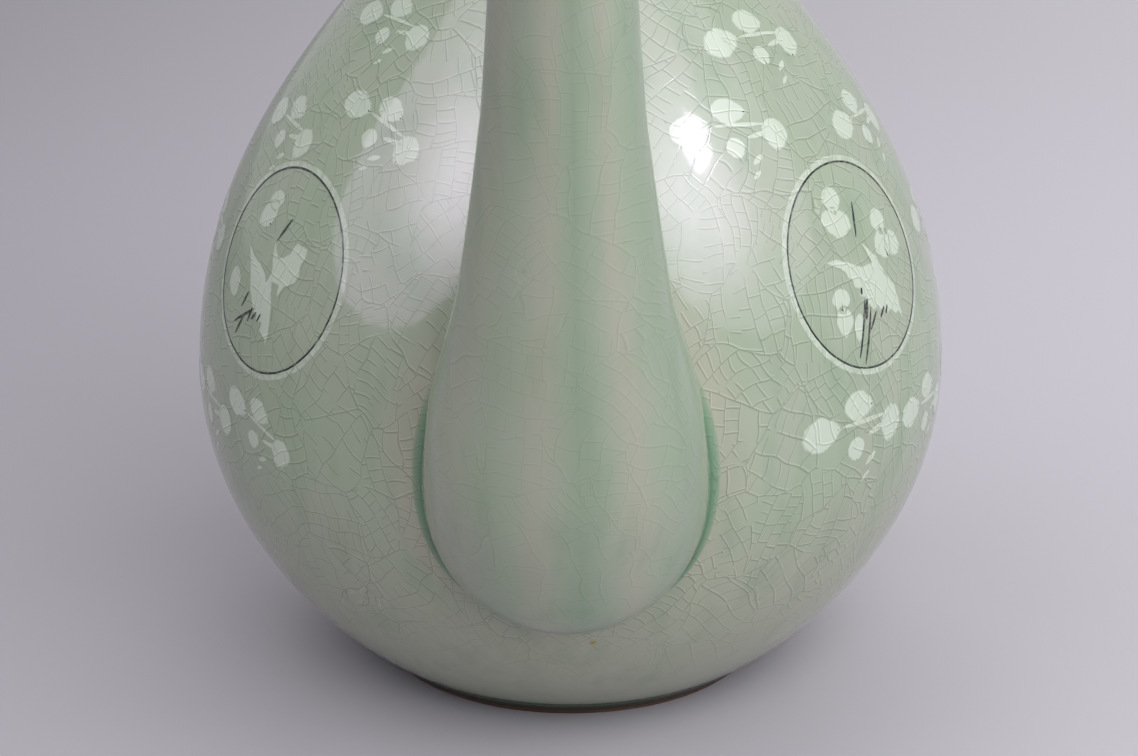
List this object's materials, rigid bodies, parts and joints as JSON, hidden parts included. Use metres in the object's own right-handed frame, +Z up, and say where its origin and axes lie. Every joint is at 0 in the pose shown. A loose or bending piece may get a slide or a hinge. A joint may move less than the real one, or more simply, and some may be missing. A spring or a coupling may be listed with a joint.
{
  "type": "double gourd ewer",
  "caption": "Double gourd stoneware ewer in crackled celadon glaze with inlaid crane and cloud pattern, a curved spout, a strap handle and a lift-off lid.",
  "frame": {"origin": "middle of the ewer's box, on the surface that the foot stands on", "axes": "+Z up along the axis of the two bulbs, -Y towards the spout, +Y towards the handle, +X to the right when the spout is seen from the front"},
  "size_m": [0.15, 0.2476, 0.2793],
  "materials": {
    "celadon_glaze": "glossy grey-green celadon glaze with fine crackle",
    "bare_stoneware": "bare fired stoneware, matt brown",
    "white_inlay": "white slip inlay under the clear glaze",
    "black_inlay": "black slip inlay under the clear glaze"
  },
  "bodies": {
    "ewer": {"foot_ring": "bare_stoneware", "lower_bulb": "celadon_glaze", "upper_bulb": "celadon_glaze", "mouth_collar": "celadon_glaze", "spout": "celadon_glaze", "handle": "celadon_glaze", "handle_loop": "celadon_glaze"},
    "lid": {"lid_cap": "celadon_glaze", "lid_flange": "bare_stoneware", "lid_knob": "celadon_glaze", "lid_loop": "celadon_glaze"}
  },
  "joints": [
    {"name": "lid_lift", "type": "slide", "parent": "ewer", "child": "lid", "axis": [0, 0, 1], "range_m": [0, 0.06]}
  ]
}
